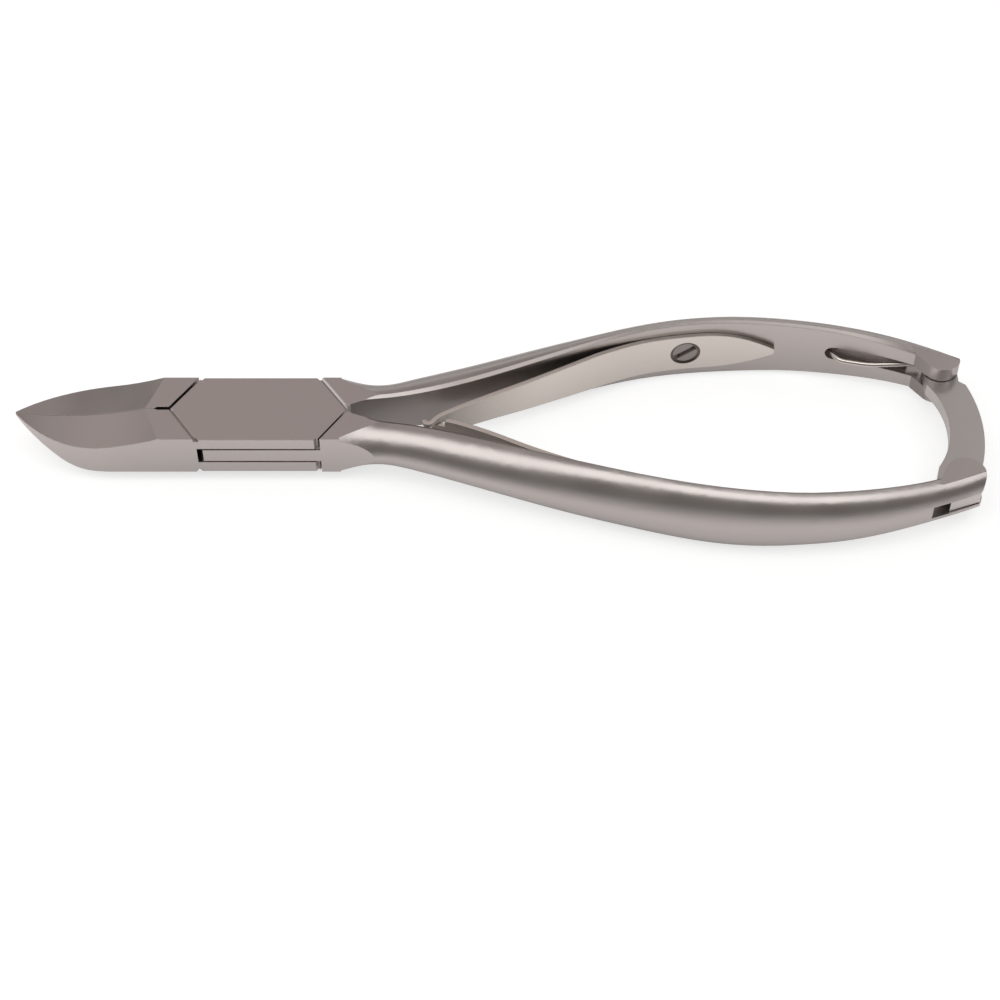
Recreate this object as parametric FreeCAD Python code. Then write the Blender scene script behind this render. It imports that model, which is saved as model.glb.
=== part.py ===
import FreeCAD, Part
import math
import os

from FreeCAD import Vector

# Nail nipper of 140 mm, closed and locked, in millimetres.
# X runs from the jaw tips to the handle ends, Y across the jaws towards the box lever's handle,
# Z along the pivot. The origin is on the pivot axis, on the back panel of the box joint.
# The solids are built about the mid-plane and lifted onto the back panel when they are written.

# Box joint
BOX_WIDTH = 12.1
BOX_THICKNESS = 7.3
TONGUE_THICKNESS = 2.9
PANEL_SHOULDER = 8.8
PANEL_RECESS = 0.15
SLIDE_CLEARANCE = 0.05
SHOULDER_GAP = 0.35
TONGUE_END_GAP = 0.7
CORNER_NOTCH = 0.45
CORNER_DENT = 0.6
PANEL_GROOVE_DEPTH = 0.2
RABBET_HEIGHT = 0.25
RABBET_DEPTH = 0.4
SEAM_OVERLAP = 1.0
PIN_RADIUS = 2.0
PIN_FIT = 0.02
RUNNING_FIT = 0.05
PIN_COVER = 0.5

# Jaws
PIVOT_TO_TIP = 35.8
JAW_TAPER_START = 22.0
TIP_HALF_WIDTH = 0.12
JAW_MEETING_GAP = 0.06
JAW_RELIEF_START = 14.9
JAW_RELIEF_HALF_WIDTH = 0.3
JAW_RELIEF_RUNOUT = 0.5
GRIND_RADIUS = 42.0
GRIND_CENTRE = 28.3
GRIND_LEVEL = 2.0
GRIND_FALL_DEG = 7.0
BACK_CURVE_START = 24.5
BACK_CURVE_RADIUS = 9.0
BACK_SLOPE_DEG = 33.0
TIP_THICKNESS = 0.4
BEVEL_LEVEL = 1.1
BEVEL_DEG = 16.0
BEVEL_END = 17.5

# Handles, necks and their rear ends
EDGE_BREAK_ANGLE = 0.11
EDGE_BREAK = 0.35
NECK_START = 11.0
BLOCK_END = 12.0
NECK_FLAT_END = 19.0
NECK_CLIP_START = 13.6
NECK_CLIP_END = 20.0
NECK_CLIP_RISE = 2.4
EAR_LEVEL = 3.7
EAR_GRIND_DEPTH = 0.15
EAR_ROOT_DEPTH = 1.3
EAR_RUNOUT = 5.5
EAR_RUNOUT_RISE = 1.0
UPPER_EAR_X = 101.7
UPPER_EAR_Y = 10.3
UPPER_EAR_RADIUS = 2.8
UPPER_EAR_FLANK = 3.9
LOWER_EAR_X = 102.5
LOWER_EAR_Y = 12.4
LOWER_EAR_RADIUS = 2.9
LOWER_EAR_FLANK = 3.7
EAR_CORNER_RADIUS = 1.45
UPPER_FORK_DEPTH = 4.3
LOWER_FORK_DEPTH = 4.9
GROOVE_LENGTH = 12.5
GROOVE_DEPTH = 1.9

# Lock bar, its pins and its wire spring
BAR_THICKNESS = 2.2
BAR_SIDE_CLEARANCE = 0.15
BAR_ROOT_RADIUS = 2.5
LOCK_PIN_RADIUS = 0.9
CATCH_PIN_RADIUS = 0.8
HOOK_TOP_CLEARANCE = 0.3
HOOK_PLAY = 0.6
HOOK_LIP = 0.5
HOOK_MOUTH = 3.7
WIRE_RADIUS = 0.38
WIRE_BEND = 1.3
WIRE_HOLE_CLEARANCE = 0.06

# Outline of the bar and route of the wire, across and up from the centre of the lock's pivot pin
BAR_NECK = (2.5, -2.7)
BAR_SHOULDER = (3.5, -3.4)
BAR_BACK_MIDDLE = (5.0, -12.8)
BAR_BACK_END = (3.9, -19.4)
BAR_TOE = (3.2, -24.2)
BAR_BEAK_BACK = (-1.4, -25.9)
BAR_BEAK_TIP = (-1.3, -25.3)
BAR_THROAT = (-2.4, -19.4)
BAR_WAIST = (0.1, -11.3)
BAR_HEEL = (-2.3, -3.4)
WIRE_START = (-16.5, 6.2)
WIRE_KNEE = (-15.1, 2.6)
WIRE_BELLY = (-10.4, 1.6)
WIRE_END = (-2.5, 1.9)

# Leaf springs and their screws
LEAF_THICKNESS = 0.7
LEAF_SEAT_GAP = 0.06
LEAF_HALF_WIDTH = 3.5
LEAF_TIP_HALF_WIDTH = 2.0
LEAF_TAIL_END = 77.2
LEAF_TAIL_POINT = 0.5
LEAF_SHOULDER = 66.5
LEAF_LIFT = 58.5
LEAF_TAPER_START = 50.0
LEAF_BOW = 0.35
LEAF_CROSSING = 1.1
FORK_HALF_WIDTH = 1.3
TONGUE_HALF_WIDTH = 1.0
FORK_START = 28.3
KNUCKLE_X = 26.6
LEAF_TIP_X = 24.6
SCREW_X = 63.6
SCREW_HEAD_RADIUS = 1.8
SCREW_SHANK_RADIUS = 0.95
SCREW_LENGTH = 2.7
SCREW_PROUD = 0.2
SCREW_SLOT_WIDTH = 0.7
SCREW_SLOT_DEPTH = 0.5
SCREW_SLOT_TURN_DEG = 25.0
SCREW_CLEARANCE = 0.05
SCREW_RIM_GAP = 0.15

# Points on the free curves, and how far a cut runs past the metal it removes
DOME_STEPS = 6
SEAT_STEPS = 4
LEAF_STEPS = 12
CUT_PAST = 1.0

half_width = BOX_WIDTH / 2
half_thickness = BOX_THICKNESS / 2
half_tongue = TONGUE_THICKNESS / 2
half_slot = half_tongue + SLIDE_CLEARANCE
half_bar_slot = BAR_THICKNESS / 2 + BAR_SIDE_CLEARANCE
meeting = JAW_MEETING_GAP / 2
panel_level = half_thickness - PANEL_RECESS

# The shoulder corner is the foot of the perpendicular from the pivot onto the panel's slanting edge,
# so that the tongue's corners and the shoulders move clear of each other as the joint opens.
panel_point = PANEL_SHOULDER + half_width ** 2 / PANEL_SHOULDER
slant_run = panel_point - PANEL_SHOULDER
slant_per_gap = math.hypot(slant_run, half_width) / half_width

# Handle sections: distance from the pivot, inner face, outer face, half height and fullness.
# The neck sections swell towards the block, so the flat faces run out on its corners.
NECK_SECTIONS = [
    (NECK_START, 0.05, half_width + 2.2, half_thickness + 1.95, 2.0),
    (12.8, 0.5, half_width + 1.55, half_thickness + 1.3, 2.0),
    (15.6, 1.65, half_width + 0.8, half_thickness + 0.35, 2.0),
    (NECK_FLAT_END, 2.35, half_width + 0.8, half_thickness, 2.0),
]
UPPER_SECTIONS = NECK_SECTIONS + [
    (24.5, 3.15, 8.45, 4.0, 2.0),
    (31.0, 4.85, 10.35, 4.35, 2.0),
    (39.0, 7.6, 12.8, 4.8, 2.0),
    (48.0, 10.95, 15.2, 5.3, 2.0),
    (57.0, 13.85, 17.4, 5.6, 2.0),
    (66.0, 15.3, 18.6, 5.75, 2.1),
    (75.0, 15.5, 18.8, 5.45, 2.2),
    (84.0, 14.65, 17.9, 5.0, 2.3),
    (92.0, 12.85, 15.95, 4.4, 3.0),
    (UPPER_EAR_X - 2.7, UPPER_EAR_Y - 0.1, UPPER_EAR_Y + 2.85, EAR_LEVEL + EAR_GRIND_DEPTH, 4.5),
    (UPPER_EAR_X + 5.3, UPPER_EAR_Y - 3.8, UPPER_EAR_Y - 1.2, EAR_LEVEL + EAR_GRIND_DEPTH, 5.0),
]
LOWER_SECTIONS = NECK_SECTIONS + [
    (24.5, 3.6, 8.3, 4.0, 2.0),
    (31.0, 5.55, 10.5, 4.35, 2.0),
    (39.0, 8.4, 13.15, 4.8, 2.0),
    (48.0, 11.5, 15.8, 5.3, 2.0),
    (57.0, 14.2, 18.15, 5.6, 2.0),
    (66.0, 16.2, 19.95, 5.75, 2.1),
    (75.0, 17.05, 20.6, 5.45, 2.2),
    (84.0, 16.65, 20.15, 5.0, 2.2),
    (92.0, 15.25, 18.65, 4.4, 2.2),
    (LOWER_EAR_X - 3.5, LOWER_EAR_Y + 0.8, LOWER_EAR_Y + 4.1, EAR_LEVEL + EAR_GRIND_DEPTH, 2.3),
    (LOWER_EAR_X + 5.5, LOWER_EAR_Y - 3.1, LOWER_EAR_Y + 0.2, EAR_LEVEL + EAR_GRIND_DEPTH, 2.4),
]


def line(start, end):
    return Part.LineSegment(start, end).toShape()


def arc_leaving(start, direction, end):
    """Arc that leaves start along direction and ends at end."""
    chord = end - start
    along = Vector(chord).normalize()
    heading = Vector(direction).normalize()
    side = heading - along * heading.dot(along)
    turn = heading.getAngle(along)
    middle = start + chord * 0.5 + side.normalize() * (chord.Length / 2 * math.tan(turn / 2))
    return Part.Arc(start, middle, end).toShape()


def spline(points):
    """Smooth curve through points at even steps of its parameter."""
    curve = Part.BSplineCurve()
    last = len(points) - 1
    curve.interpolate(Points=points, Parameters=[step / last for step in range(last + 1)])
    return curve


def smooth_curve(points):
    """Smooth curve through points whose parameter follows the distances between them."""
    curve = Part.BSplineCurve()
    curve.interpolate(points)
    return curve


def prism(edges, bottom, top):
    """Solid between two levels over a closed outline that lies at level zero."""
    face = Part.Face(Part.Wire(edges))
    face.translate(Vector(0, 0, bottom))
    return face.extrude(Vector(0, 0, top - bottom))


def polygon(points):
    corners = [Vector(x, y, 0) for x, y in points]
    return [line(a, b) for a, b in zip(corners, corners[1:] + corners[:1])]


def side_prism(points, start, end):
    """Solid between two distances across the object over an outline of (x, z) points."""
    corners = [Vector(x, start, z) for x, z in points]
    edges = [line(a, b) for a, b in zip(corners, corners[1:] + corners[:1])]
    return Part.Face(Part.Wire(edges)).extrude(Vector(0, end - start, 0))


def block(x0, x1, y0, y1, z0, z1):
    return Part.makeBox(x1 - x0, y1 - y0, z1 - z0, Vector(x0, y0, z0))


def post(x, y, radius, bottom, top):
    return Part.makeCylinder(radius, top - bottom, Vector(x, y, bottom))


def mirrored(shape):
    """The same shape on the other side of the centre line."""
    return shape.mirror(Vector(0, 0, 0), Vector(0, 1, 0))


def slant_point(x_sign, y_sign, offset, height):
    """Point of one slanting edge of the panel, moved outwards by offset, at a given distance from y = 0."""
    x = panel_point - slant_run * height / half_width + offset * slant_per_gap
    return x_sign * x, y_sign * height


def panel_outline(rising_offset, falling_offset):
    """Hexagon of the box joint. The offsets move its two pairs of slanting edges outwards.

    The rising pair is upper left and lower right, the falling pair upper right and lower left.
    """
    shift = (rising_offset - falling_offset) * slant_per_gap / 2
    point_y = shift * half_width / slant_run
    point_x = panel_point + (rising_offset + falling_offset) * slant_per_gap / 2
    return polygon([
        (-point_x, point_y),
        slant_point(-1, 1, rising_offset, half_width),
        slant_point(1, 1, falling_offset, half_width),
        (point_x, -point_y),
        slant_point(1, -1, rising_offset, half_width),
        slant_point(-1, -1, falling_offset, half_width),
    ])


def jaw(shoulder_gap):
    """Jaw above the centre line, ground hollow in front and curved behind."""
    side_x, side_y = slant_point(-1, 1, shoulder_gap, half_width)
    inner_x, inner_y = slant_point(-1, 1, shoulder_gap, JAW_RELIEF_HALF_WIDTH)
    tip = Vector(-PIVOT_TO_TIP, meeting, 0)
    tip_side = Vector(-PIVOT_TO_TIP, meeting + TIP_HALF_WIDTH, 0)
    taper = Vector(-JAW_TAPER_START, half_width, 0)
    side = Vector(side_x, side_y, 0)
    inner = Vector(inner_x, inner_y, 0)
    relief = Vector(-JAW_RELIEF_START, JAW_RELIEF_HALF_WIDTH, 0)
    runout = Vector(-JAW_RELIEF_START - JAW_RELIEF_RUNOUT, meeting, 0)
    outline = [
        line(tip, tip_side),
        arc_leaving(taper, Vector(-1, 0, 0), tip_side),
        line(taper, side),
        line(side, inner),
        line(inner, relief),
        line(relief, runout),
        line(runout, tip),
    ]
    body = prism(outline, -half_thickness, half_thickness)
    return body.cut(front_grind()).cut(back_curve()).cut(edge_bevel())


def front_grind():
    """Cylinder whose surface falls outwards from the cutting edge."""
    fall = math.radians(GRIND_FALL_DEG)
    direction = Vector(0, math.cos(fall), -math.sin(fall))
    lowest = Vector(-GRIND_CENTRE, 0, GRIND_LEVEL + GRIND_RADIUS / math.cos(fall))
    start = lowest - direction * GRIND_RADIUS
    return Part.makeCylinder(GRIND_RADIUS, 2 * GRIND_RADIUS, start, direction)


def back_curve():
    """Waste behind the jaws: the back leaves the flat on an arc and rises to the thin tip."""
    slope = math.radians(BACK_SLOPE_DEG)
    start = Vector(-BACK_CURVE_START, 0, -half_thickness)
    bend = start + Vector(-math.sin(slope), 0, 1 - math.cos(slope)) * BACK_CURVE_RADIUS
    tip_front = GRIND_LEVEL + (PIVOT_TO_TIP - GRIND_CENTRE) ** 2 / (2 * GRIND_RADIUS)
    tip = Vector(-PIVOT_TO_TIP, 0, tip_front - TIP_THICKNESS)
    beyond = tip + (tip - bend).normalize() * CUT_PAST
    corner = Vector(beyond.x, 0, -BOX_THICKNESS)
    under = Vector(start.x, 0, -BOX_THICKNESS)
    heading = Vector(-math.cos(slope), 0, math.sin(slope))
    outline = [
        arc_leaving(start, Vector(-1, 0, 0), bend),
        arc_leaving(bend, heading, tip),
        line(tip, beyond),
        line(beyond, corner),
        line(corner, under),
        line(under, start),
    ]
    face = Part.Face(Part.Wire(outline))
    face.translate(Vector(0, -BOX_WIDTH, 0))
    return face.extrude(Vector(0, 2 * BOX_WIDTH, 0))


def edge_bevel():
    """Waste behind the cutting edge, so that the jaws meet on a thin land near the front."""
    depth = BEVEL_LEVEL + BOX_THICKNESS
    corners = [
        Vector(0, -meeting, BEVEL_LEVEL),
        Vector(0, depth * math.tan(math.radians(BEVEL_DEG)), -BOX_THICKNESS),
        Vector(0, -meeting, -BOX_THICKNESS),
    ]
    edges = [line(a, b) for a, b in zip(corners, corners[1:] + corners[:1])]
    face = Part.Face(Part.Wire(edges))
    face.translate(Vector(-PIVOT_TO_TIP - CUT_PAST, 0, 0))
    return face.extrude(Vector(PIVOT_TO_TIP + CUT_PAST - BEVEL_END, 0, 0))


def handle_section(x, inner, outer, half, fullness):
    """D section: flat inner face, broken edges and a domed outer face."""
    power = 2 / fullness
    dome = []
    for step in range(DOME_STEPS + 1):
        angle = EDGE_BREAK_ANGLE + (math.pi - 2 * EDGE_BREAK_ANGLE) * step / DOME_STEPS
        across = math.sin(angle) ** power
        along = math.copysign(abs(math.cos(angle)) ** power, math.cos(angle))
        dome.append(Vector(x, inner + (outer - inner) * across, half * along))
    front = Vector(x, inner, half - EDGE_BREAK)
    back = Vector(x, inner, EDGE_BREAK - half)
    return Part.Wire([
        line(back, front),
        line(front, dome[0]),
        spline(dome).toShape(),
        line(dome[-1], back),
    ])


def handle(sections, shoulder_gap, ear_x, ear_y, ear_radius, flank):
    """Strap above the centre line, from the block of the box joint to the ears."""
    strap = Part.makeLoft([handle_section(*section) for section in sections], True, False)
    far = sections[-1][0] + CUT_PAST
    reach = 3 * BOX_WIDTH
    strap = strap.cut(block(0, NECK_FLAT_END, -reach, reach, half_thickness, BOX_WIDTH))
    strap = strap.cut(block(0, NECK_FLAT_END, -reach, reach, -BOX_WIDTH, -half_thickness))
    strap = strap.cut(neck_clip()).cut(ear_flats(ear_x - flank - EDGE_BREAK, far))
    strap = strap.fuse(ear(inner_curve(sections), far, ear_x, ear_y, ear_radius, flank))
    round_end = post(ear_x, ear_y, ear_radius, -BOX_WIDTH, BOX_WIDTH)
    strap = strap.cut(block(ear_x, far + CUT_PAST, -reach, reach, -BOX_WIDTH, BOX_WIDTH).cut(round_end))
    strap = strap.cut(ear_corner(sections, ear_x, ear_y, ear_radius))
    side_x, side_y = slant_point(1, 1, shoulder_gap, half_width)
    low_x, low_y = slant_point(1, 1, shoulder_gap, meeting)
    shoulder = prism(polygon([
        (low_x, low_y),
        (side_x, side_y),
        (BLOCK_END, half_width),
        (BLOCK_END, meeting),
    ]) if low_x < BLOCK_END else polygon([
        slant_point(1, 1, shoulder_gap, half_width * (low_x - BLOCK_END) / (low_x - side_x)),
        (side_x, side_y),
        (BLOCK_END, half_width),
    ]), -half_thickness, half_thickness)
    trim = prism(polygon([
        (0, -reach),
        (0, half_width + CUT_PAST),
        slant_point(1, 1, shoulder_gap, half_width + CUT_PAST),
        (low_x, low_y),
        (low_x, -reach),
    ]), -BOX_WIDTH, BOX_WIDTH)
    return strap.cut(trim).fuse(shoulder).removeSplitter()


def neck_clip():
    """Waste outside the neck, so that it leaves the side of the box on a hollow arc."""
    reach = 3 * BOX_WIDTH
    low = Vector(0, half_width, 0)
    start = Vector(NECK_CLIP_START, half_width, 0)
    end = Vector(NECK_CLIP_END, half_width + NECK_CLIP_RISE, 0)
    corner = Vector(NECK_CLIP_END, reach, 0)
    side = Vector(0, reach, 0)
    return prism([
        line(low, start),
        arc_leaving(start, Vector(1, 0, 0), end),
        line(end, corner),
        line(corner, side),
        line(side, low),
    ], -BOX_WIDTH, BOX_WIDTH)


def ear(inner, far, ear_x, ear_y, ear_radius, flank):
    """Lobe under the strap: a slanting flank, a round underside and a square end, rounded later."""
    flank_x = ear_x - flank
    flank_y = inner_height(inner, flank_x)
    touch_x, touch_y = tangent_from(flank_x, flank_y, ear_x, ear_y, ear_radius)
    root = Vector(flank_x, flank_y + EAR_ROOT_DEPTH, 0)
    top = Vector(flank_x, flank_y, 0)
    touch = Vector(touch_x, touch_y, 0)
    bottom = Vector(ear_x, ear_y - ear_radius, 0)
    end = Vector(far, ear_y - ear_radius, 0)
    end_root = Vector(far, inner_height(inner, far) + EAR_ROOT_DEPTH, 0)
    return prism([
        line(root, top),
        line(top, touch),
        arc_leaving(touch, touch - top, bottom),
        line(bottom, end),
        line(end, end_root),
        line(end_root, root),
    ], -EAR_LEVEL, EAR_LEVEL)


def ear_corner(sections, ear_x, ear_y, ear_radius):
    """Waste outside a small round that joins the ear's round end to the strap's outer face."""
    outer = smooth_curve([Vector(section[0], section[2], 0) for section in sections]).toShape()
    low = -math.pi / 2
    high = math.pi / 2
    for _ in range(30):
        bearing = (low + high) / 2
        towards_end = Vector(math.cos(bearing), math.sin(bearing), 0)
        centre = Vector(ear_x, ear_y, 0) + towards_end * (ear_radius - EAR_CORNER_RADIUS)
        distance, pairs, _ = Part.Vertex(centre).distToShape(outer)
        if distance > EAR_CORNER_RADIUS:
            low = bearing
        else:
            high = bearing
    towards_face = (pairs[0][1] - centre).normalize()
    end_side = towards_end * (2 * ear_radius)
    face_side = towards_face * (2 * ear_radius)
    corners = [centre, centre + end_side, centre + end_side + face_side, centre + face_side]
    waste = prism(polygon([(corner.x, corner.y) for corner in corners]), -BOX_WIDTH, BOX_WIDTH)
    return waste.cut(post(centre.x, centre.y, EAR_CORNER_RADIUS, -BOX_WIDTH, BOX_WIDTH))


def ear_flats(start, far):
    """Waste in front of and behind an ear. The flats are level from start and run out ahead of it."""
    waste = []
    for side in (-1, 1):
        waste.append(side_prism([
            (start - EAR_RUNOUT, side * (EAR_LEVEL + EAR_RUNOUT_RISE)),
            (start, side * EAR_LEVEL),
            (far, side * EAR_LEVEL),
            (far, side * BOX_WIDTH),
            (start - EAR_RUNOUT, side * BOX_WIDTH),
        ], -BOX_WIDTH, 2 * BOX_WIDTH))
    return waste


def inner_curve(sections):
    return smooth_curve([Vector(section[0], section[1], 0) for section in sections])


def inner_height(curve, x):
    """Height of the inner face at a distance from the pivot."""
    low = curve.FirstParameter
    high = curve.LastParameter
    for _ in range(50):
        middle = (low + high) / 2
        if curve.value(middle).x < x:
            low = middle
        else:
            high = middle
    return curve.value(low).y


def tangent_from(x, y, centre_x, centre_y, radius):
    """Point where a line from (x, y) touches the lower left side of a circle."""
    away = Vector(x - centre_x, y - centre_y, 0)
    spread = math.acos(radius / away.Length)
    bearing = math.atan2(away.y, away.x) + spread
    return centre_x + radius * math.cos(bearing), centre_y + radius * math.sin(bearing)


def fork_slot(start):
    """Slot in the mid-plane, open at the rear, for the lock bar."""
    reach = 3 * BOX_WIDTH
    return block(start, start + reach, -reach, reach, -half_bar_slot, half_bar_slot)


def corner_notches():
    """Notches at the panel's corners, as deep as the cheeks at the open gaps and shallow elsewhere."""
    notches = []
    for x in (-PANEL_SHOULDER, PANEL_SHOULDER):
        for y in (-half_width, half_width):
            outline = polygon([
                (x - CORNER_NOTCH, y),
                (x, y - CORNER_NOTCH),
                (x + CORNER_NOTCH, y),
                (x, y + CORNER_NOTCH),
            ])
            floor = half_slot if x * y < 0 else half_thickness - CORNER_DENT
            notches.append(prism(outline, floor, half_thickness))
            notches.append(prism(outline, -half_thickness, -floor))
    return notches


def panel_grooves():
    """Shallow grooves along the panel's two joined edges, in front and behind."""
    depth = PANEL_RECESS + PANEL_GROOVE_DEPTH
    start = Vector(panel_point, 0, 0)
    end = Vector(PANEL_SHOULDER, half_width, 0)
    along = end - start
    across = Vector(along.y, -along.x, 0).normalize() * depth
    grooves = []
    for turn in (0, 180):
        for side in (-1, 1):
            corners = [
                start - across + Vector(0, 0, side * half_thickness),
                start + across + Vector(0, 0, side * half_thickness),
                start + Vector(0, 0, side * (half_thickness - depth)),
            ]
            edges = [line(a, b) for a, b in zip(corners, corners[1:] + corners[:1])]
            groove = Part.Face(Part.Wire(edges)).extrude(along)
            groove.rotate(Vector(0, 0, 0), Vector(0, 0, 1), turn)
            grooves.append(groove)
    return grooves


def tongue_rabbets():
    """Steps along the edges of the tongue's sides, which show as dark lines beside the cheeks."""
    shoulder_x = slant_point(1, 1, SHOULDER_GAP, half_width)[0]
    rabbets = []
    for y in (-half_width, half_width):
        for z in (-half_tongue, half_tongue):
            rabbets.append(block(
                -shoulder_x, shoulder_x, y - RABBET_DEPTH, y + RABBET_DEPTH,
                z - RABBET_HEIGHT, z + RABBET_HEIGHT))
    return rabbets


def wire_groove():
    """Groove in the upper handle's inner face that leads the wire spring into the fork slot."""
    curve = inner_curve(UPPER_SECTIONS)
    end = UPPER_EAR_X - UPPER_FORK_DEPTH
    start = end - GROOVE_LENGTH + half_bar_slot
    floor = inner_height(curve, start) + GROOVE_DEPTH
    run = prism(polygon([
        (start, 0),
        (start, floor),
        (end, inner_height(curve, end) + GROOVE_DEPTH),
        (end + CUT_PAST, 0),
    ]), -half_bar_slot, half_bar_slot)
    return [run, Part.makeCylinder(half_bar_slot, floor, Vector(start, 0, 0), Vector(0, 1, 0))]


def box_lever():
    cheeks = prism(panel_outline(0, SEAM_OVERLAP), -panel_level, panel_level)
    slot = prism(panel_outline(2 * SEAM_OVERLAP, 0), -half_slot, half_slot)
    strap = handle(UPPER_SECTIONS, 0, UPPER_EAR_X, UPPER_EAR_Y, UPPER_EAR_RADIUS, UPPER_EAR_FLANK)
    body = cheeks.cut(slot).fuse([mirrored(jaw(0)), strap])
    body = body.cut(post(0, 0, PIN_RADIUS + PIN_FIT, -BOX_THICKNESS, panel_level - PIN_COVER))
    body = body.cut(fork_slot(UPPER_EAR_X - UPPER_FORK_DEPTH)).cut(wire_groove())
    body = body.cut(lock_pin(UPPER_EAR_X, UPPER_EAR_Y, LOCK_PIN_RADIUS + PIN_FIT, BOX_WIDTH))
    body = body.cut(wire_path(WIRE_RADIUS + WIRE_HOLE_CLEARANCE))
    body = body.cut(screw_hole(UPPER_SECTIONS))
    return body.cut(corner_notches() + panel_grooves()).removeSplitter()


def tongue_lever():
    tongue = prism(panel_outline(SEAM_OVERLAP, -TONGUE_END_GAP), -half_tongue, half_tongue)
    strap = mirrored(handle(
        LOWER_SECTIONS, SHOULDER_GAP, LOWER_EAR_X, LOWER_EAR_Y, LOWER_EAR_RADIUS, LOWER_EAR_FLANK))
    body = tongue.fuse([jaw(SHOULDER_GAP), strap])
    body = body.cut(post(0, 0, PIN_RADIUS + RUNNING_FIT, -BOX_THICKNESS, BOX_THICKNESS))
    body = body.cut(fork_slot(LOWER_EAR_X - LOWER_FORK_DEPTH))
    body = body.cut(lock_pin(LOWER_EAR_X, -LOWER_EAR_Y, CATCH_PIN_RADIUS + PIN_FIT, BOX_WIDTH))
    body = body.cut(mirrored(screw_hole(LOWER_SECTIONS)))
    return body.cut(corner_notches() + tongue_rabbets()).removeSplitter()


def lock_pin(x, y, radius, back):
    """Pin of the lock, driven in from the back of the ears and hidden under the metal in front."""
    return post(x, y, radius, -back, EAR_LEVEL - PIN_COVER)


def from_pivot(offset):
    """Point at an offset from the centre of the lock's pivot pin."""
    return Vector(UPPER_EAR_X + offset[0], UPPER_EAR_Y + offset[1], 0)


def lock_bar():
    """Flat curved bar with a round root on the pivot pin and a hook round the catch pin."""
    notch_top = CATCH_PIN_RADIUS + HOOK_TOP_CLEARANCE - LOWER_EAR_Y
    notch_bottom = -CATCH_PIN_RADIUS - HOOK_PLAY - LOWER_EAR_Y
    notch_end = LOWER_EAR_X + CATCH_PIN_RADIUS + HOOK_TOP_CLEARANCE
    neck = from_pivot(BAR_NECK)
    shoulder = from_pivot(BAR_SHOULDER)
    back_end = from_pivot(BAR_BACK_END)
    toe = from_pivot(BAR_TOE)
    throat = from_pivot(BAR_THROAT)
    heel = from_pivot(BAR_HEEL)
    root_left = from_pivot((-BAR_ROOT_RADIUS, 0))
    root_right = from_pivot((BAR_ROOT_RADIUS, 0))
    notch = [
        from_pivot(BAR_BEAK_TIP),
        Vector(LOWER_EAR_X - HOOK_LIP, notch_bottom, 0),
        Vector(notch_end, notch_bottom, 0),
        Vector(notch_end, notch_top, 0),
        Vector(LOWER_EAR_X - HOOK_MOUTH, notch_top, 0),
    ]
    outline = [
        Part.Arc(shoulder, from_pivot(BAR_BACK_MIDDLE), back_end).toShape(),
        arc_leaving(back_end, back_end - from_pivot(BAR_BACK_MIDDLE), toe),
        line(toe, from_pivot(BAR_BEAK_BACK)),
        line(from_pivot(BAR_BEAK_BACK), notch[0]),
        *[line(a, b) for a, b in zip(notch, notch[1:])],
        line(notch[-1], throat),
        Part.Arc(throat, from_pivot(BAR_WAIST), heel).toShape(),
        line(heel, root_left),
        line(root_left, root_right),
        line(root_right, neck),
        line(neck, shoulder),
    ]
    half = BAR_THICKNESS / 2
    body = prism(outline, -half, half)
    body = body.fuse(post(UPPER_EAR_X, UPPER_EAR_Y, BAR_ROOT_RADIUS, -half, half))
    return body.cut(post(UPPER_EAR_X, UPPER_EAR_Y, LOCK_PIN_RADIUS + RUNNING_FIT, -half, half))


def wire_path(radius):
    """Round wire of straight runs joined by tangent arcs, from its hole to the root of the bar."""
    route = [from_pivot(offset) for offset in (WIRE_START, WIRE_KNEE, WIRE_BELLY, WIRE_END)]
    edges = []
    start = route[0]
    for before, corner, after in zip(route, route[1:], route[2:]):
        entry = corner + (before - corner).normalize() * WIRE_BEND
        leave = corner + (after - corner).normalize() * WIRE_BEND
        edges.append(line(start, entry))
        edges.append(arc_leaving(entry, corner - entry, leave))
        start = leave
    edges.append(line(start, route[-1]))
    path = Part.Wire(edges)
    section = Part.Wire([Part.Circle(route[0], route[1] - route[0], radius).toShape()])
    return path.makePipeShell([section], True, False)


def leaf_line(sections):
    """Middle line of a leaf: along the handle's inner face, then away from it past the crossing."""
    curve = inner_curve(sections)
    drop = LEAF_SEAT_GAP + LEAF_THICKNESS / 2
    tail_x = LEAF_TAIL_END + CUT_PAST
    seat_points = []
    for step in range(SEAT_STEPS + 1):
        x = tail_x + (LEAF_LIFT - tail_x) * step / SEAT_STEPS
        seat_points.append(Vector(x, inner_height(curve, x) - drop, 0))
    knuckle = Vector(KNUCKLE_X, 0, 0)
    tip = Vector(LEAF_TIP_X, -LEAF_CROSSING, 0)
    middle = (seat_points[-1] + knuckle) * 0.5 + Vector(0, LEAF_BOW, 0)
    return smooth_curve(seat_points + [middle, knuckle, tip])


def leaf(sections):
    """Leaf spring above the centre line, as wide as its seat and tapered to the crossing."""
    curve = leaf_line(sections)
    above = []
    below = []
    for step in range(LEAF_STEPS + 1):
        at = curve.FirstParameter + (curve.LastParameter - curve.FirstParameter) * step / LEAF_STEPS
        tangent = Vector(*curve.tangent(at)[0])
        normal = Vector(-tangent.y, tangent.x, 0).normalize() * (LEAF_THICKNESS / 2)
        above.append(curve.value(at) + normal)
        below.append(curve.value(at) - normal)
    body = prism([
        smooth_curve(above).toShape(),
        line(above[-1], below[-1]),
        smooth_curve(below).toShape(),
        line(below[0], above[0]),
    ], -LEAF_HALF_WIDTH, LEAF_HALF_WIDTH)
    return body.common(leaf_plan())


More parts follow.
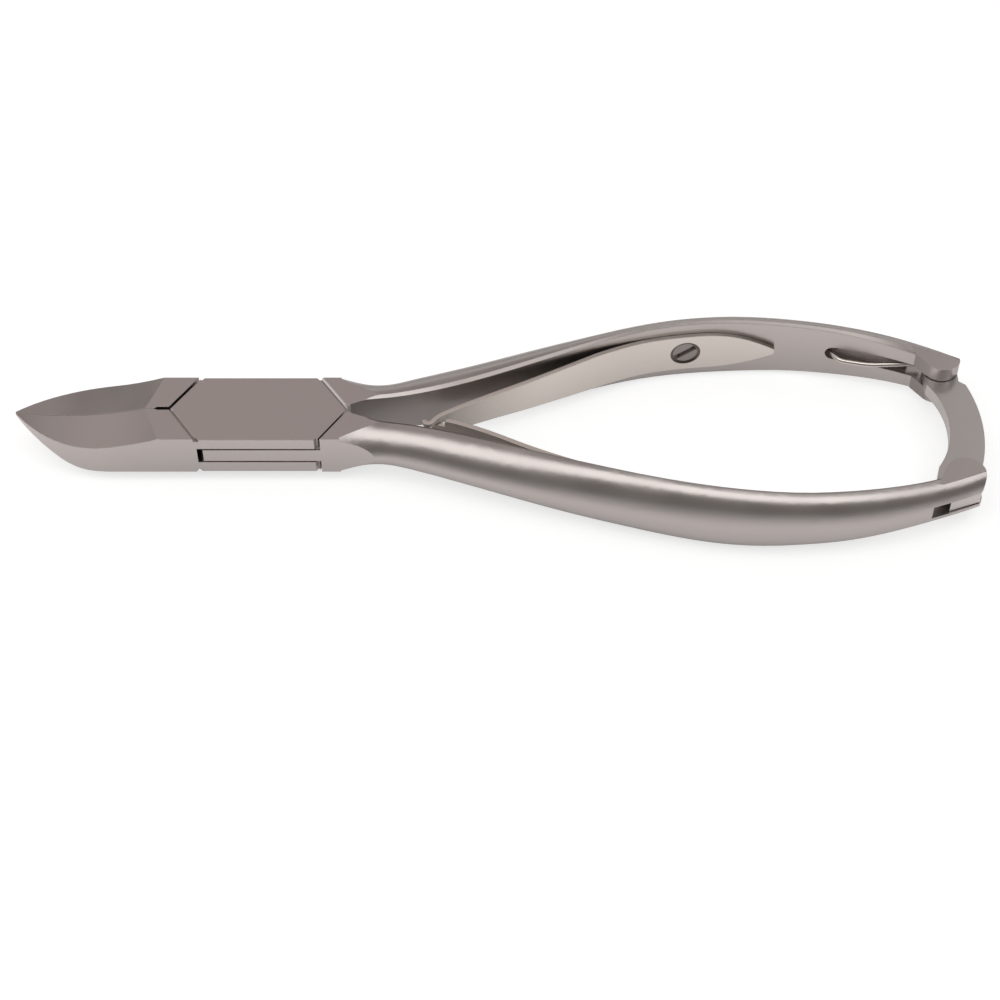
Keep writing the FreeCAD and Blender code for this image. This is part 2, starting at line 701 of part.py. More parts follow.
def leaf_plan():
    """Outline of a leaf seen from its flat side: a pointed tail, straight sides and a tapered tip."""
    sides = []
    for side in (1, -1):
        tail = Vector(LEAF_TAIL_END, side * LEAF_TAIL_POINT, 0)
        shoulder = Vector(LEAF_SHOULDER, side * LEAF_HALF_WIDTH, 0)
        taper = Vector(LEAF_TAPER_START, side * LEAF_HALF_WIDTH, 0)
        tip = Vector(LEAF_TIP_X - CUT_PAST, side * LEAF_TIP_HALF_WIDTH, 0)
        sides.append((tail, shoulder, taper, tip))
    (tail, shoulder, taper, tip), (low_tail, low_shoulder, low_taper, low_tip) = sides
    plan = prism([
        arc_leaving(shoulder, Vector(1, 0, 0), tail),
        line(tail, low_tail),
        arc_leaving(low_shoulder, Vector(1, 0, 0), low_tail),
        line(low_shoulder, low_taper),
        line(low_taper, low_tip),
        line(low_tip, tip),
        line(tip, taper),
        line(taper, shoulder),
    ], -3 * BOX_WIDTH, BOX_WIDTH)
    plan.rotate(Vector(0, 0, 0), Vector(1, 0, 0), 90)
    return plan


def screw_frame(sections):
    """Point of the leaf's free face at the screw, and the direction into the handle."""
    curve = inner_curve(sections)
    ahead_x = SCREW_X + SCREW_HEAD_RADIUS
    behind_x = SCREW_X - SCREW_HEAD_RADIUS
    ahead = Vector(ahead_x, inner_height(curve, ahead_x), 0)
    behind = Vector(behind_x, inner_height(curve, behind_x), 0)
    along = (ahead - behind).normalize()
    inward = Vector(-along.y, along.x, 0)
    seat = Vector(SCREW_X, inner_height(curve, SCREW_X), 0)
    return seat - inward * (LEAF_SEAT_GAP + LEAF_THICKNESS), inward


def screw_solid(sections, rim_gap, clearance):
    surface, inward = screw_frame(sections)
    head_depth = LEAF_THICKNESS + SCREW_PROUD
    top = surface - inward * SCREW_PROUD
    head = Part.makeCone(
        SCREW_HEAD_RADIUS + rim_gap, SCREW_SHANK_RADIUS + clearance, head_depth, top, inward)
    return head.fuse(Part.makeCylinder(SCREW_SHANK_RADIUS + clearance, SCREW_LENGTH, top, inward))


def screw_hole(sections):
    surface, inward = screw_frame(sections)
    length = SCREW_LENGTH - SCREW_PROUD + SCREW_CLEARANCE
    return Part.makeCylinder(SCREW_SHANK_RADIUS + SCREW_CLEARANCE, length, surface, inward)


def screw(sections):
    surface, inward = screw_frame(sections)
    top = surface - inward * SCREW_PROUD
    slot = block(
        -SCREW_HEAD_RADIUS * 2, SCREW_HEAD_RADIUS * 2,
        -SCREW_SLOT_DEPTH, SCREW_SLOT_DEPTH,
        -SCREW_SLOT_WIDTH / 2, SCREW_SLOT_WIDTH / 2)
    slot.rotate(Vector(0, 0, 0), Vector(0, 1, 0), -SCREW_SLOT_TURN_DEG)
    slot.rotate(Vector(0, 0, 0), Vector(0, 0, 1), math.degrees(math.atan2(-inward.x, inward.y)))
    slot.translate(top)
    return screw_solid(sections, 0, 0).cut(slot)


def upper_leaf():
    body = leaf(UPPER_SECTIONS)
    fork = block(0, FORK_START, -BOX_WIDTH, BOX_WIDTH, -FORK_HALF_WIDTH, FORK_HALF_WIDTH)
    return body.cut(fork).cut(screw_solid(UPPER_SECTIONS, SCREW_RIM_GAP, SCREW_CLEARANCE))


def lower_leaf():
    body = leaf(LOWER_SECTIONS)
    for side in (-1, 1):
        middle = side * (TONGUE_HALF_WIDTH + BOX_WIDTH)
        body = body.cut(block(
            0, FORK_START, -BOX_WIDTH, BOX_WIDTH, middle - BOX_WIDTH, middle + BOX_WIDTH))
    return mirrored(body.cut(screw_solid(LOWER_SECTIONS, SCREW_RIM_GAP, SCREW_CLEARANCE)))


def write(name, shape):
    placed = shape.copy()
    placed.translate(Vector(0, 0, panel_level))
    solids = placed.Solids
    print(name, "solids", len(solids), "valid", placed.isValid(), "volume", round(placed.Volume, 1))
    solid = solids[0] if len(solids) == 1 else Part.makeCompound(solids)
    solid.exportStep("parts/" + name + ".step")


os.makedirs("parts", exist_ok=True)
write("box_lever", box_lever())
write("tongue_lever", tongue_lever())
write("joint_pin", post(0, 0, PIN_RADIUS, -panel_level, panel_level - PIN_COVER))
write("upper_leaf_spring", upper_leaf())
write("lower_leaf_spring", lower_leaf())
write("upper_spring_screw", screw(UPPER_SECTIONS))
write("lower_spring_screw", mirrored(screw(LOWER_SECTIONS)))
write("lock_bar", lock_bar())
write("lock_pivot_pin", lock_pin(UPPER_EAR_X, UPPER_EAR_Y, LOCK_PIN_RADIUS, EAR_LEVEL))
write("lock_catch_pin", lock_pin(LOWER_EAR_X, -LOWER_EAR_Y, CATCH_PIN_RADIUS, EAR_LEVEL))
write("lock_wire_spring", wire_path(WIRE_RADIUS))
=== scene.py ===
import math

import bmesh
import bpy
from mathutils import Matrix, Quaternion, Vector


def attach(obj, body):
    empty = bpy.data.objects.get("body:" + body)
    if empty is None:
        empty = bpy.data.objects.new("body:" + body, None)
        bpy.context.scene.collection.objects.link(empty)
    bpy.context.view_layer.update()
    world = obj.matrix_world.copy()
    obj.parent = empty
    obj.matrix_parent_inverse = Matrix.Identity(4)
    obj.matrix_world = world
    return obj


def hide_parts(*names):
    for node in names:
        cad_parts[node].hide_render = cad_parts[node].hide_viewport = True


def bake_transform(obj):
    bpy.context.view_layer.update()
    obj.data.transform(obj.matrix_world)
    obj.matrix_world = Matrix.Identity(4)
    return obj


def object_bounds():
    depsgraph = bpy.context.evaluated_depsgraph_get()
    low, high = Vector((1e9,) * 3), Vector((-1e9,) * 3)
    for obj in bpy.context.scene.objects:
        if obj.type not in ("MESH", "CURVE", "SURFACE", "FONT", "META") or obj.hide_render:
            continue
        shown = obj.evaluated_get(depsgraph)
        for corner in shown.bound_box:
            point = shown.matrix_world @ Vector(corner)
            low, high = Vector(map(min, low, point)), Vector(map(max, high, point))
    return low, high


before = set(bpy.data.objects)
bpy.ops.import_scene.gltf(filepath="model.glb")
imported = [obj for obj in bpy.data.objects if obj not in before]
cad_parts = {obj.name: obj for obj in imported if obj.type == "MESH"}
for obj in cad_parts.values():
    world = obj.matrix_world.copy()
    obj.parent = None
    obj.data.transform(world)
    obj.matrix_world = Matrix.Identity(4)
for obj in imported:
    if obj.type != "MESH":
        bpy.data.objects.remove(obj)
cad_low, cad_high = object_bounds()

MM = 0.001

# Camera: looks down on the nipper from the side of the lower handle
VIEW_AIM = Vector((35.5, -14.4, 3.5)) * MM
VIEW_DISTANCE = 330 * MM
VIEW_ELEVATION = math.radians(51)
VIEW_LENS = 82.4
SENSOR_WIDTH = 36

# Surface of the ground steel: grain in waves for each metre, speckles, clouds and relief
GRAIN_STRETCH = (900, 14000, 14000)
GRAIN_NOISE = {"Scale": 1.0, "Detail": 5, "Roughness": 0.7}
SPECKLE_NOISE = {"Scale": 9000, "Detail": 3, "Roughness": 0.6}
SPECKLE_SHARE = 0.5
CLOUD_NOISE = {"Scale": 120, "Detail": 4, "Roughness": 0.55}
CLOUD_TONE_RANGE = (0.35, 0.65)
CLOUD_DULLING = 0.97
CLOUD_GLOSS_RANGE = (0.3, 0.7)
ROUGHNESS_SPREAD = 0.04
BUMP_STRENGTH = 0.25
BUMP_DEPTH = 0.008 * MM

# Edges lighter from wear and a painted highlight: cosine of the rounding where the lightening begins and
# where it is full
EDGE_SAMPLES = 4
EDGE_WEAR_AND_HIGHLIGHT_RANGE = (0.99, 0.9)
EDGE_WEAR_AND_HIGHLIGHT_BRIGHTENING = 1.1

# Steels: colour, roughness and radius of the rounded edges, which wear and a painted highlight make
# lighter
LEVER_STEEL = ((0.465, 0.435, 0.425), 0.32, 0.10 * MM)
SPRING_STEEL = ((0.62, 0.58, 0.545), 0.30, 0.06 * MM)
BAR_STEEL = ((0.505, 0.485, 0.478), 0.32, 0.10 * MM)
PIN_STEEL = ((0.26, 0.24, 0.23), 0.30, 0.05 * MM)
WIRE_STEEL = ((0.60, 0.56, 0.53), 0.22, 0.02 * MM)

# Painted shade on the inner edge break of the upper handle, dimming its highlight: limits of the face's
# lean, start along the handle, shade
BREAK_BEGINS = (-0.1, -0.26)
BREAK_ENDS = (-0.92, -0.7)
BREAK_FROM = (0.016, 0.030)
BREAK_PAINTED_SHADE = (0.62, 0.61, 0.60)

# Countersinks in the leaves: painted shade on the walls around the screw heads, and where it begins and is
# full, in rim radii
COUNTERSINK_PAINTED_SHADE = (0.22, 0.20, 0.19)
COUNTERSINK_REACH = (1.03, 0.99)

# Leaf springs, in millimetres: middle line from tail to tip, plan and fork
MID_LEVEL = 3.5
LEAF_THICKNESS = 0.7
LEAF_TAIL = 77.2
LEAF_SHOULDER = 66.5
LEAF_TAPER = 50.0
LEAF_TIP = 24.2
LEAF_HALF_WIDTH = 3.5
LEAF_TAIL_HALF_WIDTH = 0.5
LEAF_TIP_HALF_WIDTH = 2.0
FORK_STATION = 10.5
FORK_HALF_WIDTH = 1.3
TONGUE_HALF_WIDTH = 1.0
UPPER_LEAF_LINE = [
    (77.2, 14.98), (72.0, 15.14), (67.0, 14.97), (62.0, 14.43), (57.0, 13.40), (52.0, 11.62),
    (46.0, 8.88), (40.0, 6.10), (34.0, 3.51), (30.0, 1.70), (28.3, 0.87), (27.0, 0.21), (26.1, -0.5),
    (25.5, -1.2), (24.9, -1.45), (24.45, -1.2), (24.3, -0.75)]
LOWER_LEAF_LINE = [
    (77.2, -16.66), (72.0, -16.50), (67.0, -15.94), (62.0, -15.03), (57.0, -13.78), (52.0, -12.15),
    (46.0, -9.80), (40.0, -6.98), (34.0, -3.75), (30.0, -1.90), (28.3, -1.25), (27.0, -0.85), (26.3, -0.6),
    (25.8, -0.45), (25.4, -0.38)]

# Mesh of the leaves: rows of the unit grid, the row that follows the slot, and the broken edges
LEAF_LENGTHS = 90
LEAF_WIDTHS = 10
GRID_HALF = 0.5
SLOT_ROW = 0.6
SLOT_LEAD = 0.12
LEAF_EDGE = 0.08
LEAF_EDGE_SEGMENTS = 2
LEAF_EDGE_ANGLE = math.radians(50)
JOINED_POINTS = 0.001 * MM
ROUNDING = 1e-4
LINE_END_ROUNDING = 1e-6

# Leaf screws, in millimetres: place on the leaf's open face and direction into the leaf
UPPER_SCREW = (63.69, 14.30, -0.1217, 0.9926)
LOWER_SCREW = (63.75, -15.02, -0.1942, -0.9810)
UPPER_SLOT_TURN = -32
LOWER_SLOT_TURN = 60
ROUND_SEGMENTS = 64
SCREW_RADIUS = 1.95
SCREW_RIM_GAP = 0.32
SCREW_SHANK_RADIUS = 0.95
SCREW_SHANK_LENGTH = 1.7
SCREW_SINK = 0.2
SCREW_RIM = 0.12
SCREW_RIM_SEGMENTS = 3
SCREW_SLOT_WIDTH = 0.95
SCREW_SLOT_FLOOR_WIDTH = 0.66
SCREW_SLOT_DEPTH = 0.4
SLOT_CUTTER_LENGTH = 4 * SCREW_RADIUS
SLOT_CUTTER_PROUD = 0.01
DRILL_PAST = 0.3
END_FACING = 0.9
SIDE_FACE_CORNERS = 4

# Floor: seen evenly bright, and in mirrored rays tinted, faded at grazing angles and shaded near the tool
FLOOR_SIZE = 4.0
FLOOR_COLOUR = (0.45, 0.46, 0.465)
FLOOR_ROUGHNESS = 0.8
FLOOR_GLOW = 0.68
FLOOR_SEEN_TINT = (1, 1, 1)
FLOOR_REFLECTED_TINT = (1.0, 0.94, 0.92)
FLOOR_FADE_RANGE = (0.95, 0.35)
FLOOR_GRAZING = -0.2
FLOOR_MIRRORED = 1.15
FLOOR_SHADE_REACH = 12 * MM
FLOOR_SHADE_SAMPLES = 8

# Lamps: name, place, width, height, colour, watts and turn in degrees
LAMPS = (
    ("overhead softbox", (0.0, -0.18, 0.575), 1.2, 0.42, (1.0, 0.99, 0.975), 2.8, 16),
    ("back panel left", (-0.21, 0.39, 0.57), 0.70, 0.36, (1.0, 0.86, 0.85), 0.34, 0),
    ("back panel right", (0.46, 0.37, 0.55), 0.64, 0.36, (1.0, 0.95, 0.92), 0.42, 0),
    ("back horizon", (0.03, 1.1, 0.2), 2.4, 0.36, (1.0, 0.97, 0.95), 1.7, 0),
    ("left panel", (-0.62, 0.02, 0.22), 0.3, 0.26, (1, 1, 1), 0.3, 0))
ROOM_COLOUR = (0.25, 0.23, 0.22)
ROOM_STRENGTH = 1.0


def add_node(tree, kind, **values):
    """Adds a node and sets its inputs by name."""
    node = tree.nodes.new(kind)
    for name, value in values.items():
        node.inputs[name.replace("_", " ")].default_value = value
    return node


def calculated(tree, operation, *values):
    """Result of a maths node whose inputs are sockets or plain numbers."""
    node = tree.nodes.new("ShaderNodeMath")
    node.operation = operation
    for target, value in zip(node.inputs, values):
        if isinstance(value, bpy.types.NodeSocket):
            tree.links.new(value, target)
        else:
            target.default_value = value
    return node.outputs[0]


def mapped(tree, source, begins, ends, low=0.0, high=1.0):
    """Socket that goes from low to high while the source goes from begins to ends."""
    node = add_node(
        tree, "ShaderNodeMapRange", From_Min=begins, From_Max=ends, To_Min=low, To_Max=high)
    tree.links.new(source, node.inputs["Value"])
    return node.outputs["Result"]


def mixed(tree, share, socket, colour, blend="MIX"):
    """Socket that blends a plain colour over a colour socket, by a share."""
    node = tree.nodes.new("ShaderNodeMix")
    node.data_type = "RGBA"
    node.blend_type = blend
    node.inputs["B"].default_value = (*colour, 1)
    tree.links.new(share, node.inputs["Factor"])
    tree.links.new(socket, node.inputs["A"])
    return node.outputs["Result"]


def noise(tree, place, values):
    """Noise at a place, with the texture's inputs given by name."""
    node = add_node(tree, "ShaderNodeTexNoise", **values)
    tree.links.new(place, node.inputs["Vector"])
    return node.outputs["Fac"]


def painted_shade_on_edge_break(tree, socket):
    """Paints shade on the inner edge break of the upper handle by darkening the steel, which dims the
    highlight there; a given tone.
    """
    place = tree.nodes.new("ShaderNodeTexCoord")
    facing = tree.nodes.new("ShaderNodeSeparateXYZ")
    tree.links.new(place.outputs["Normal"], facing.inputs["Vector"])
    spot = tree.nodes.new("ShaderNodeSeparateXYZ")
    tree.links.new(place.outputs["Object"], spot.inputs["Vector"])
    leaning = calculated(
        tree, "MULTIPLY",
        mapped(tree, facing.outputs["Y"], *BREAK_BEGINS),
        mapped(tree, facing.outputs["Y"], *BREAK_ENDS))
    share = calculated(tree, "MULTIPLY", mapped(tree, spot.outputs["X"], *BREAK_FROM), leaning)
    return mixed(tree, share, socket, BREAK_PAINTED_SHADE, "MULTIPLY")


def painted_shade_in_countersinks(tree, socket):
    """Paints shade on the walls of the leaves' countersinks around the screw heads by darkening the steel;
    a given tone.
    """
    place = tree.nodes.new("ShaderNodeTexCoord").outputs["Object"]
    distances = []
    for x, y, _, _ in (UPPER_SCREW, LOWER_SCREW):
        away = tree.nodes.new("ShaderNodeVectorMath")
        away.operation = "DISTANCE"
        away.inputs[1].default_value = Vector((x, y, MID_LEVEL)) * MM
        tree.links.new(place, away.inputs[0])
        distances.append(away.outputs["Value"])
    nearest = calculated(tree, "MINIMUM", *distances)
    begins, ends = [(SCREW_RADIUS + SCREW_RIM_GAP) * MM * reach for reach in COUNTERSINK_REACH]
    return mixed(tree, mapped(tree, nearest, begins, ends), socket, COUNTERSINK_PAINTED_SHADE, "MULTIPLY")


def satin_steel(name, colour, roughness, edge_radius, detail=None):
    """Belt-ground steel: fine lines along the piece, cloudy gloss, and edges rounded and bright, from wear
    and a painted highlight.
    """
    material = bpy.data.materials.new(name)
    material.use_nodes = True
    tree = material.node_tree
    shader = tree.nodes["Principled BSDF"]
    shader.inputs["Metallic"].default_value = 1.0
    place = tree.nodes.new("ShaderNodeTexCoord").outputs["Object"]
    stretched = add_node(tree, "ShaderNodeMapping", Scale=GRAIN_STRETCH)
    tree.links.new(place, stretched.inputs["Vector"])
    grain = noise(tree, stretched.outputs["Vector"], GRAIN_NOISE)
    speckle = noise(tree, place, SPECKLE_NOISE)
    clouds = noise(tree, place, CLOUD_NOISE)

    relief = calculated(tree, "MULTIPLY_ADD", speckle, SPECKLE_SHARE, grain)
    rounded = add_node(tree, "ShaderNodeBevel", Radius=edge_radius)
    rounded.samples = EDGE_SAMPLES
    bump = add_node(tree, "ShaderNodeBump", Strength=BUMP_STRENGTH, Distance=BUMP_DEPTH)
    geometry = tree.nodes.new("ShaderNodeNewGeometry")
    facing = tree.nodes.new("ShaderNodeVectorMath")
    facing.operation = "DOT_PRODUCT"
    for output, target in (
            (relief, bump.inputs["Height"]),
            (rounded.outputs["Normal"], bump.inputs["Normal"]),
            (bump.outputs["Normal"], shader.inputs["Normal"]),
            (rounded.outputs["Normal"], facing.inputs[0]),
            (geometry.outputs["Normal"], facing.inputs[1])):
        tree.links.new(output, target)
    wear_and_highlight_mask = mapped(tree, facing.outputs["Value"], *EDGE_WEAR_AND_HIGHLIGHT_RANGE)

    clouded = tree.nodes.new("ShaderNodeValToRGB")
    dull = [channel * CLOUD_DULLING for channel in colour]
    for stop, position, tone in zip(clouded.color_ramp.elements, CLOUD_TONE_RANGE, (dull, colour)):
        stop.position = position
        stop.color = (*tone, 1)
    tree.links.new(clouds, clouded.inputs["Fac"])
    # Colour of the rounded edges, lighter from wear and from a painted highlight
    bright = [min(1.0, channel * EDGE_WEAR_AND_HIGHLIGHT_BRIGHTENING) for channel in colour]
    shade = mixed(tree, wear_and_highlight_mask, clouded.outputs["Color"], bright)
    # Painted shade on parts of the steel, where a material is given one
    if detail:
        shade = detail(tree, shade)
    tree.links.new(shade, shader.inputs["Base Color"])

    gloss = mapped(
        tree, clouds, *CLOUD_GLOSS_RANGE, roughness - ROUGHNESS_SPREAD, roughness + ROUGHNESS_SPREAD)
    tree.links.new(gloss, shader.inputs["Roughness"])
    return material


forged_steel = satin_steel("forged steel", *LEVER_STEEL)
# The box lever's steel carries painted shade on the upper handle's inner edge break
box_steel = satin_steel("box lever steel", *LEVER_STEEL, detail=painted_shade_on_edge_break)
# The spring steel carries painted shade on the walls of the countersinks
spring_steel = satin_steel("spring steel", *SPRING_STEEL, detail=painted_shade_in_countersinks)
bar_steel = satin_steel("lock bar steel", *BAR_STEEL)
pin_steel = satin_steel("pin steel", *PIN_STEEL)
wire_steel = satin_steel("wire steel", *WIRE_STEEL)

FINISH_OF_NODE = {
    "box_lever": box_steel,
    "tongue_lever": forged_steel,
    "lock_bar": bar_steel,
    "joint_pin": pin_steel,
    "lock_pivot_pin": pin_steel,
    "lock_catch_pin": pin_steel,
    "upper_leaf_spring": spring_steel,
    "lower_leaf_spring": spring_steel,
    "upper_spring_screw": pin_steel,
    "lower_spring_screw": pin_steel,
    "lock_wire_spring": wire_steel,
}
for node_name, finish in FINISH_OF_NODE.items():
    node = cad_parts[node_name]
    for slot in node.material_slots:
        slot.material = finish


def along_line(stations, share):
    """Point on a smooth line through the stations, share running from 0 at the first to 1 at the last."""
    last = len(stations) - 1
    place = min(share * last, last - LINE_END_ROUNDING)
    index = int(place)
    step = place - index
    before = Vector(stations[max(index - 1, 0)])
    start = Vector(stations[index])
    end = Vector(stations[index + 1])
    after = Vector(stations[min(index + 2, last)])
    leaving = (end - before) / 2
    arriving = (after - start) / 2
    return (start * (1 + 2 * step) * (1 - step) ** 2 + leaving * step * (1 - step) ** 2
            + end * step ** 2 * (3 - 2 * step) + arriving * step ** 2 * (step - 1))


def leaf_half_width(x):
    """Half width of a leaf: pointed tail on a full curve, straight sides, tapered tip."""
    if x > LEAF_SHOULDER:
        run = (x - LEAF_SHOULDER) / (LEAF_TAIL - LEAF_SHOULDER)
        return LEAF_HALF_WIDTH - (LEAF_HALF_WIDTH - LEAF_TAIL_HALF_WIDTH) * min(run, 1.0) ** 2
    if x < LEAF_TAPER:
        run = (LEAF_TAPER - x) / (LEAF_TAPER - LEAF_TIP)
        return LEAF_HALF_WIDTH - (LEAF_HALF_WIDTH - LEAF_TIP_HALF_WIDTH) * min(run, 1.0)
    return LEAF_HALF_WIDTH


def mesh_object(name, shape):
    """Makes an object of a shape and uses the shape up."""
    mesh = bpy.data.meshes.new(name)
    shape.to_mesh(mesh)
    shape.free()
    piece = bpy.data.objects.new(name, mesh)
    bpy.context.collection.objects.link(piece)
    return piece


def settle(piece):
    """Makes a piece's modifiers part of its mesh."""
    bpy.context.view_layer.update()
    finished = bpy.data.meshes.new_from_object(piece.evaluated_get(bpy.context.evaluated_depsgraph_get()))
    piece.modifiers.clear()
    piece.data = finished


def cut_away(piece, cutter_shape):
    """Cuts a shape out of a piece."""
    cutter = mesh_object(piece.name + "_cutter", cutter_shape)
    cut = piece.modifiers.new("cut", "BOOLEAN")
    cut.operation = "DIFFERENCE"
    cut.solver = "EXACT"
    cut.object = cutter
    settle(piece)
    bpy.data.objects.remove(cutter)


def finish_surface(piece, finish):
    """Joins points that lie together, turns the faces outward and gives the piece its steel."""
    shape = bmesh.new()
    shape.from_mesh(piece.data)
    bmesh.ops.remove_doubles(shape, verts=shape.verts, dist=JOINED_POINTS)
    bmesh.ops.dissolve_degenerate(shape, dist=JOINED_POINTS, edges=shape.edges)
    bmesh.ops.recalc_face_normals(shape, faces=shape.faces)
    shape.to_mesh(piece.data)
    shape.free()
    piece.data.materials.clear()
    piece.data.materials.append(finish)


def screw_seat(screw, depth=0.0):
    """Matrix that lays the z axis along a screw, from a depth below the leaf's open face."""
    x, y, inward_x, inward_y = screw
    inward = Vector((inward_x, inward_y, 0))
    place = Vector((x, y, MID_LEVEL)) + inward * depth
    return Matrix.Translation(place * MM) @ inward.to_track_quat("Z", "Y").to_matrix().to_4x4()


def drill(piece, screw):
    """Cuts a countersunk hole for a screw through a leaf."""
    wide = (SCREW_RADIUS + SCREW_RIM_GAP) * MM
    slope = (wide - SCREW_SHANK_RADIUS * MM) / LEAF_THICKNESS
    cone = bmesh.new()
    bmesh.ops.create_cone(
        cone, cap_ends=True, segments=ROUND_SEGMENTS,
        radius1=wide + slope * DRILL_PAST, radius2=wide - slope * (LEAF_THICKNESS + DRILL_PAST),
        depth=(LEAF_THICKNESS + 2 * DRILL_PAST) * MM)
    bmesh.ops.transform(cone, matrix=screw_seat(screw, LEAF_THICKNESS / 2), verts=cone.verts)
    cut_away(piece, cone)


def leaf_spring(name, stations, forked, screw, finish):
    """Strip of spring steel bent along its line, with a fork or a tongue curled at its tip."""
    shape = bmesh.new()
    bmesh.ops.create_grid(shape, x_segments=LEAF_LENGTHS, y_segments=LEAF_WIDTHS, size=GRID_HALF)
    slot = FORK_HALF_WIDTH if forked else TONGUE_HALF_WIDTH
    start = FORK_STATION / (len(stations) - 1)
    waste = []
    for face in shape.faces:
        middle = face.calc_center_median()
        in_row = abs(middle.y / GRID_HALF) < SLOT_ROW
        if middle.x + GRID_HALF > start + ROUNDING and in_row == forked:
            waste.append(face)
    bmesh.ops.delete(shape, geom=waste, context="FACES")
    for vertex in shape.verts:
        share = vertex.co.x + GRID_HALF
        spot = along_line(stations, share)
        half_width = leaf_half_width(spot.x)
        across = vertex.co.y / GRID_HALF
        even = across * half_width
        if abs(across) < SLOT_ROW + ROUNDING:
            cut = across / SLOT_ROW * slot
        else:
            beyond = (abs(across) - SLOT_ROW) / (1 - SLOT_ROW)
            cut = math.copysign(slot + (half_width - slot) * beyond, across)
        near_slot = min(max(1 + (share - start) / SLOT_LEAD, 0), 1)
        level = even + (cut - even) * near_slot
        vertex.co = Vector((spot.x, spot.y, MID_LEVEL + level)) * MM
    piece = mesh_object(name, shape)
    thickness = piece.modifiers.new("thickness", "SOLIDIFY")
    thickness.thickness = LEAF_THICKNESS * MM
    thickness.offset = 0
    edges = piece.modifiers.new("broken edges", "BEVEL")
    edges.width = LEAF_EDGE * MM
    edges.segments = LEAF_EDGE_SEGMENTS
    edges.limit_method = "ANGLE"
    edges.angle_limit = LEAF_EDGE_ANGLE
    settle(piece)
    drill(piece, screw)
    finish_surface(piece, finish)
    return piece


def leaf_screw(name, screw, turn, finish):
    """Countersunk screw sunk a little into its leaf, with a wide slot that narrows to its floor."""
    depth = LEAF_THICKNESS - SCREW_SINK
    shape = bmesh.new()
    bmesh.ops.create_cone(
        shape, cap_ends=True, segments=ROUND_SEGMENTS,
        radius1=SCREW_RADIUS, radius2=SCREW_SHANK_RADIUS, depth=depth)
    for vertex in shape.verts:
        vertex.co.z += SCREW_SINK + depth / 2
    shank = [
        face for face in shape.faces
        if face.normal.z > END_FACING and len(face.verts) > SIDE_FACE_CORNERS]
    grown = bmesh.ops.extrude_face_region(shape, geom=shank)
    bmesh.ops.translate(
        shape, vec=(0, 0, SCREW_SHANK_LENGTH),
        verts=[item for item in grown["geom"] if isinstance(item, bmesh.types.BMVert)])
    bmesh.ops.delete(shape, geom=shank, context="FACES")
    rim = [
        edge for edge in shape.edges
        if all(vertex.co.z < SCREW_SINK + ROUNDING for vertex in edge.verts)]
    bmesh.ops.bevel(
        shape, geom=rim, offset=SCREW_RIM, segments=SCREW_RIM_SEGMENTS, profile=0.5, affect="EDGES",
        material=-1)
    cutter = bmesh.new()
    bmesh.ops.create_cube(cutter, size=1)
    for vertex in cutter.verts:
        at_mouth = vertex.co.z < 0
        vertex.co.x *= SLOT_CUTTER_LENGTH
        vertex.co.y *= SCREW_SLOT_WIDTH if at_mouth else SCREW_SLOT_FLOOR_WIDTH
        vertex.co.z = SCREW_SINK - SLOT_CUTTER_PROUD if at_mouth else SCREW_SINK + SCREW_SLOT_DEPTH
    bmesh.ops.recalc_face_normals(cutter, faces=cutter.faces)
    slot_turn = Matrix.Rotation(math.radians(turn), 3, "Z")
    seat = screw_seat(screw) @ Matrix.Scale(MM, 4)
    for part in (shape, cutter):
        bmesh.ops.rotate(part, cent=(0, 0, 0), matrix=slot_turn, verts=part.verts)
        bmesh.ops.transform(part, matrix=seat, verts=part.verts)
    piece = mesh_object(name, shape)
    cut_away(piece, cutter)
    finish_surface(piece, finish)
    return piece


def area_light(name, place, width, height, colour, power, turn):
    """Rectangular lamp that faces the middle of the view, turned about its own axis."""
    data = bpy.data.lights.new(name, "AREA")
    data.shape = "RECTANGLE"
    data.size = width
    data.size_y = height
    data.color = colour
    data.energy = power
    lamp = bpy.data.objects.new(name, data)
    bpy.context.collection.objects.link(lamp)
    lamp.location = place
    lamp.visible_camera = False
    facing = (VIEW_AIM - Vector(place)).to_track_quat("-Z", "Y")
    lamp.rotation_euler = (facing @ Quaternion((0, 0, 1), math.radians(turn))).to_euler()


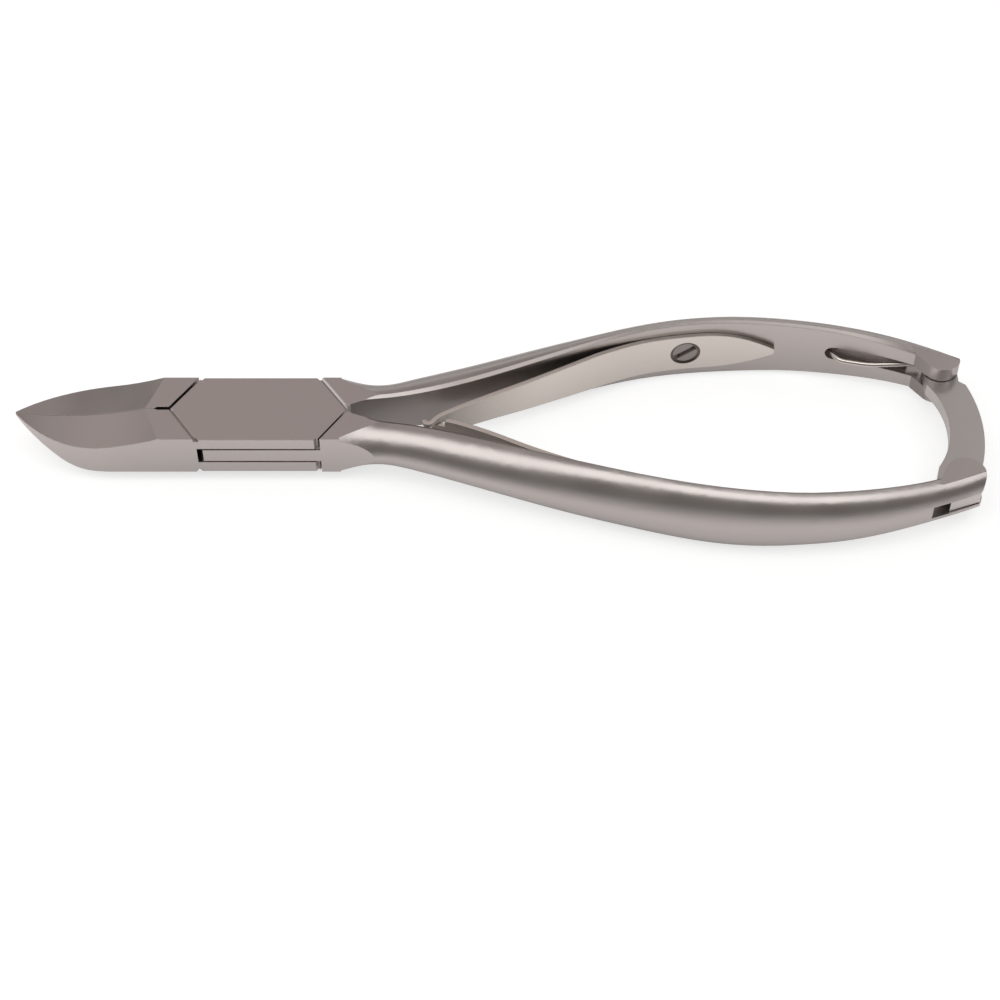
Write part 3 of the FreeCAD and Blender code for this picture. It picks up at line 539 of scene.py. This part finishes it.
def floor_finish():
    """Sheet that glows evenly to the camera and less, warmer and shaded, in mirrored rays."""
    material = bpy.data.materials.new("floor")
    material.use_nodes = True
    tree = material.node_tree
    shader = tree.nodes["Principled BSDF"]
    shader.inputs["Base Color"].default_value = (*FLOOR_COLOUR, 1)
    shader.inputs["Roughness"].default_value = FLOOR_ROUGHNESS
    path = tree.nodes.new("ShaderNodeLightPath")
    shade = add_node(
        tree, "ShaderNodeAmbientOcclusion", Distance=FLOOR_SHADE_REACH, Color=(*FLOOR_REFLECTED_TINT, 1))
    shade.samples = FLOOR_SHADE_SAMPLES
    tint = mixed(tree, path.outputs["Is Camera Ray"], shade.outputs["Color"], FLOOR_SEEN_TINT)
    tree.links.new(tint, shader.inputs["Emission Color"])
    grazing = tree.nodes.new("ShaderNodeLayerWeight")
    fade = mapped(
        tree, grazing.outputs["Facing"], *FLOOR_FADE_RANGE, FLOOR_GRAZING, FLOOR_MIRRORED)
    mirrored = calculated(tree, "MULTIPLY", path.outputs["Is Glossy Ray"], fade)
    seen = calculated(tree, "MAXIMUM", path.outputs["Is Camera Ray"], mirrored)
    glow = calculated(tree, "MULTIPLY", seen, FLOOR_GLOW)
    tree.links.new(glow, shader.inputs["Emission Strength"])
    return material


def build_floor():
    """Flat floor at the lowest level of the CAD."""
    shape = bmesh.new()
    bmesh.ops.create_grid(shape, x_segments=1, y_segments=1, size=FLOOR_SIZE / 2)
    floor = mesh_object("floor", shape)
    floor.data.transform(Matrix.Translation((0, 0, cad_low[2])))
    floor.data.materials.append(floor_finish())


upper_leaf = leaf_spring("upper_leaf", UPPER_LEAF_LINE, True, UPPER_SCREW, spring_steel)
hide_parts("upper_leaf_spring")
lower_leaf = leaf_spring("lower_leaf", LOWER_LEAF_LINE, False, LOWER_SCREW, spring_steel)
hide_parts("lower_leaf_spring")
for leaf, held_by, touches in (
        (upper_leaf, "box_lever", "tongue_lever"), (lower_leaf, "tongue_lever", "box_lever")):
    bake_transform(leaf)

for screw_name, screw, turn, lever in (
        ("upper_spring_screw", UPPER_SCREW, UPPER_SLOT_TURN, "box_lever"),
        ("lower_spring_screw", LOWER_SCREW, LOWER_SLOT_TURN, "tongue_lever")):
    fastener = leaf_screw(screw_name + "_sunk", screw, turn, pin_steel)
    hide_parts(screw_name)
    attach(fastener, lever)

build_floor()
for lamp in LAMPS:
    area_light(*lamp)

world = bpy.data.worlds.new("studio")
bpy.context.scene.world = world
world.use_nodes = True
world.node_tree.nodes["Background"].inputs["Color"].default_value = (*ROOM_COLOUR, 1)
world.node_tree.nodes["Background"].inputs["Strength"].default_value = ROOM_STRENGTH

camera_data = bpy.data.cameras.new("camera")
camera_data.lens = VIEW_LENS
camera_data.sensor_width = SENSOR_WIDTH
camera = bpy.data.objects.new("camera", camera_data)
bpy.context.collection.objects.link(camera)
towards = Vector((0, -math.cos(VIEW_ELEVATION), math.sin(VIEW_ELEVATION)))
camera.location = VIEW_AIM + towards * VIEW_DISTANCE
camera.rotation_euler = (math.pi / 2 - VIEW_ELEVATION, 0, 0)
bpy.context.scene.camera = camera
bpy.context.scene.view_settings.view_transform = "Standard"
